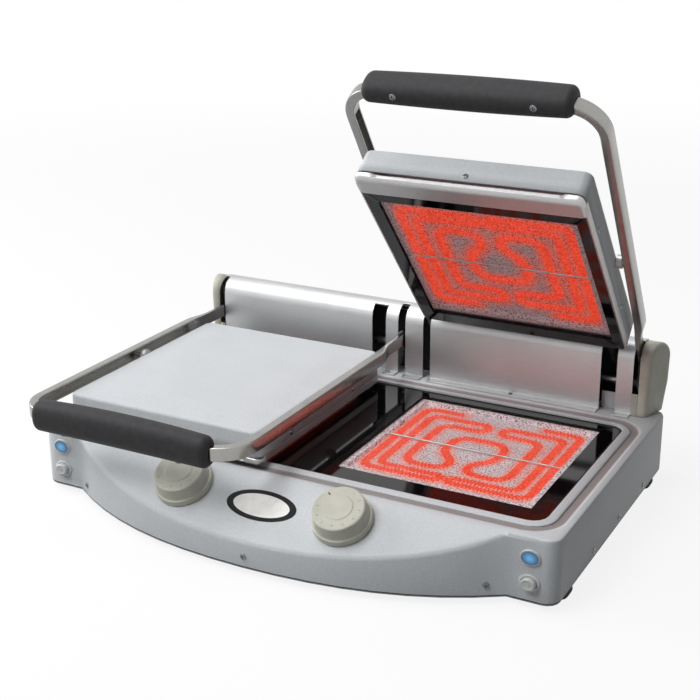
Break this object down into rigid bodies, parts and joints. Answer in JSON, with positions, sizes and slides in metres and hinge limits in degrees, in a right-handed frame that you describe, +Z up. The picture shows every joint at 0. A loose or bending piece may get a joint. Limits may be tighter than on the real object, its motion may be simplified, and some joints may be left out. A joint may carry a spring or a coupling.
{
  "type": "double contact grill",
  "caption": "Countertop double contact grill with glass plates over glowing ribbon heaters, the left lid closed and the right lid raised.",
  "frame": {"origin": "on the table, under the middle of the grill's footprint in the stored pose", "axes": "+X right, +Y towards the hinge line at the back, +Z up"},
  "size_m": [0.619, 0.455, 0.4799],
  "materials": {
    "silver_paint": "satin",
    "brushed_steel": "brushed",
    "polished_aluminium": "polished",
    "dark_steel": "matte",
    "black_glass": "gloss",
    "black_rubber": "matte",
    "charcoal_grip": "matte",
    "beige_plastic": "satin",
    "fibre_board": "matte",
    "hot_ribbon": "glowing",
    "blue_lens": "gloss"
  },
  "bodies": {
    "casing": {"upper_casing": "silver_paint", "base_tray": "dark_steel", "lower_glass": "black_glass", "glass_seal": "black_rubber", "hinge_cover": "brushed_steel", "end_cap_left": "beige_plastic", "end_cap_right": "beige_plastic", "terminal_block": "beige_plastic", "cable_gland": "black_rubber", "foot_front_left": "black_rubber", "foot_front_right": "black_rubber", "foot_back_left": "black_rubber", "foot_back_right": "black_rubber", "lower_heater_tray_left": "fibre_board", "lower_heater_ribbon_left": "hot_ribbon", "lower_limiter_left": "dark_steel", "thermostat_left": "dark_steel", "pilot_lamp_left": "blue_lens", "switch_body_left": "beige_plastic", "hinge_bracket_left_left": "brushed_steel", "hinge_bracket_left_right": "brushed_steel", "counter_spring_left": "dark_steel", "lower_heater_tray_right": "fibre_board", "lower_heater_ribbon_right": "hot_ribbon", "lower_limiter_right": "dark_steel", "thermostat_right": "dark_steel", "pilot_lamp_right": "blue_lens", "switch_body_right": "beige_plastic", "hinge_bracket_right_left": "brushed_steel", "hinge_bracket_right_right": "brushed_steel", "counter_spring_right": "dark_steel"},
    "handle_left": {"handle_frame_left": "polished_aluminium", "handle_grip_left": "charcoal_grip", "hinge_shaft_left": "dark_steel", "pivot_bush_left_left": "dark_steel", "pivot_bush_left_right": "dark_steel"},
    "lid_left": {"lid_housing_left": "silver_paint", "lid_frame_left": "silver_paint", "lid_glass_left": "black_glass", "upper_heater_tray_left": "fibre_board", "upper_heater_ribbon_left": "hot_ribbon", "upper_limiter_left": "dark_steel", "wiring_conduit_left": "dark_steel"},
    "dial_left": {"knob_left": "beige_plastic"},
    "switch_button_left": {"push_button_left": "beige_plastic"},
    "handle_right": {"handle_frame_right": "polished_aluminium", "handle_grip_right": "charcoal_grip", "hinge_shaft_right": "dark_steel", "pivot_bush_right_left": "dark_steel", "pivot_bush_right_right": "dark_steel"},
    "lid_right": {"lid_housing_right": "silver_paint", "lid_frame_right": "silver_paint", "lid_glass_right": "black_glass", "upper_heater_tray_right": "fibre_board", "upper_heater_ribbon_right": "hot_ribbon", "upper_limiter_right": "dark_steel", "wiring_conduit_right": "dark_steel"},
    "dial_right": {"knob_right": "beige_plastic"},
    "switch_button_right": {"push_button_right": "beige_plastic"}
  },
  "joints": [
    {"name": "arm_hinge_left", "type": "hinge", "parent": "casing", "child": "handle_left", "pos_m": [-0.1478, 0.2075, 0.1076], "axis": [-1, 0, 0], "range_deg": [0, 55.8]},
    {"name": "lid_tilt_left", "type": "hinge", "parent": "handle_left", "child": "lid_left", "pos_m": [-0.1478, 0.0027, 0.117], "axis": [-1, 0, 0], "range_deg": [-7, 0]},
    {"name": "dial_turn_left", "type": "hinge", "parent": "casing", "child": "dial_left", "pos_m": [-0.097, -0.17699, 0.06111], "axis": [0, 0.4617, -0.887], "range_deg": [0, 270]},
    {"name": "button_press_left", "type": "slide", "parent": "casing", "child": "switch_button_left", "axis": [0, 1, 0], "range_m": [0, 0.003], "stiffness_N_per_m": 300},
    {"name": "arm_hinge_right", "type": "hinge", "parent": "casing", "child": "handle_right", "pos_m": [0.1478, 0.2075, 0.1076], "axis": [-1, 0, 0], "range_deg": [-55.8, 0]},
    {"name": "lid_tilt_right", "type": "hinge", "parent": "handle_right", "child": "lid_right", "pos_m": [0.1478, 0.10016, 0.28227], "axis": [-1, 0, 0], "range_deg": [0, 7]},
    {"name": "dial_turn_right", "type": "hinge", "parent": "casing", "child": "dial_right", "pos_m": [0.0934, -0.17699, 0.06111], "axis": [0, 0.4617, -0.887], "range_deg": [0, 270]},
    {"name": "button_press_right", "type": "slide", "parent": "casing", "child": "switch_button_right", "axis": [0, 1, 0], "range_m": [0, 0.003], "stiffness_N_per_m": 300}
  ],
  "couplings": [
    {"joint": "lid_tilt_left", "follows": "arm_hinge_left", "ratio": -0.12366},
    {"joint": "lid_tilt_right", "follows": "arm_hinge_right", "ratio": -0.12366}
  ]
}
